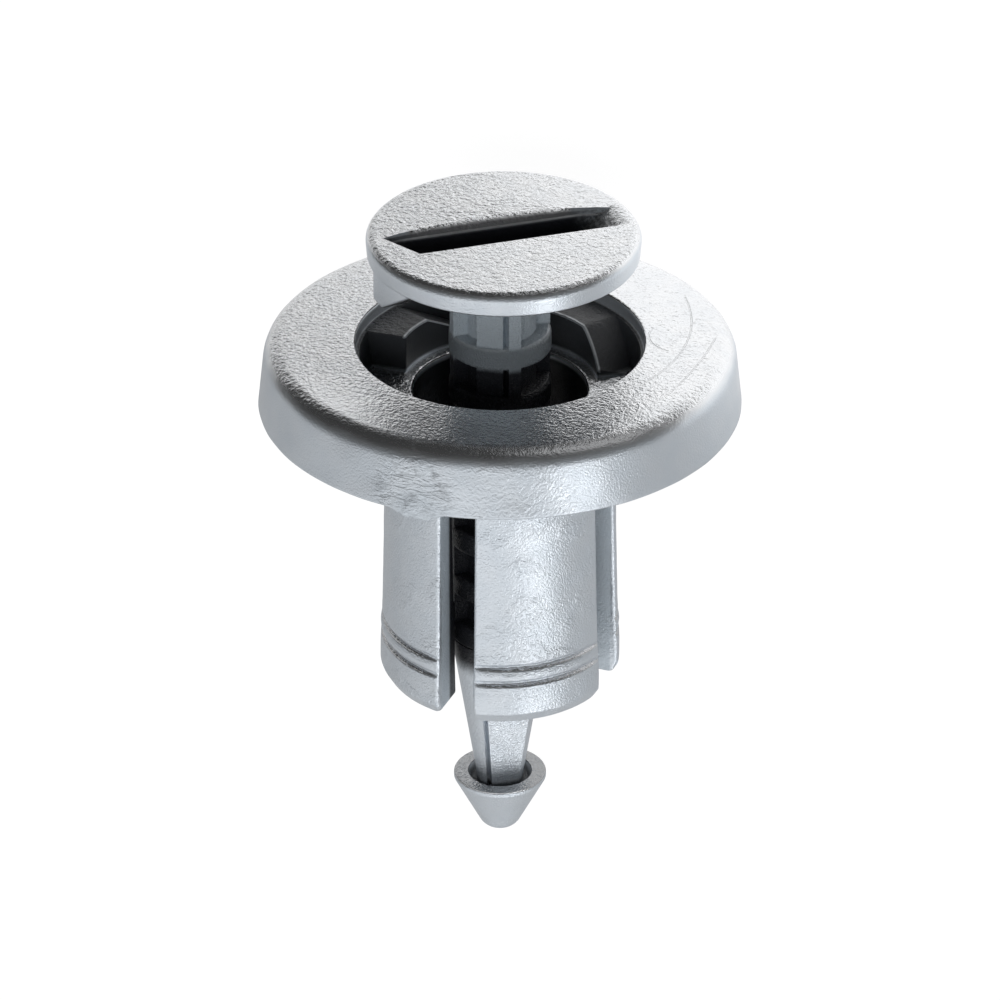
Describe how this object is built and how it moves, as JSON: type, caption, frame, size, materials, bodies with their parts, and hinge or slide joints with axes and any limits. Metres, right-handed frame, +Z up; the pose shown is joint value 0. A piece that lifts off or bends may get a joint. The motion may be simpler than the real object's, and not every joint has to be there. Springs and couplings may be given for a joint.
{
  "type": "quarter-turn push rivet",
  "caption": "Two-piece plastic push rivet: slotted round-head pin raised in a dished flange grommet on four split legs.",
  "frame": {"origin": "on the rivet's axis, in the plane of the flange's sealing edge, which is where the stem leaves the flange", "axes": "the rivet lies on its side as it comes to rest, on the flange's rim and two legs: its axis is in the YZ plane and rises towards +Y, head end, at 22.6 degrees; +Z is up"},
  "size_m": [0.02, 0.0286, 0.0191],
  "materials": {
    "grommet_plastic": "grained grey moulding",
    "pin_plastic": "grained grey moulding"
  },
  "bodies": {
    "grommet": {"grommet": "grommet_plastic"},
    "push_pin": {"push_pin": "pin_plastic"}
  },
  "joints": [
    {"name": "pin_slide", "type": "slide", "parent": "grommet", "child": "push_pin", "axis": [0, 0.9235, 0.3835], "range_m": [-0.0036, 0.0052]}
  ]
}
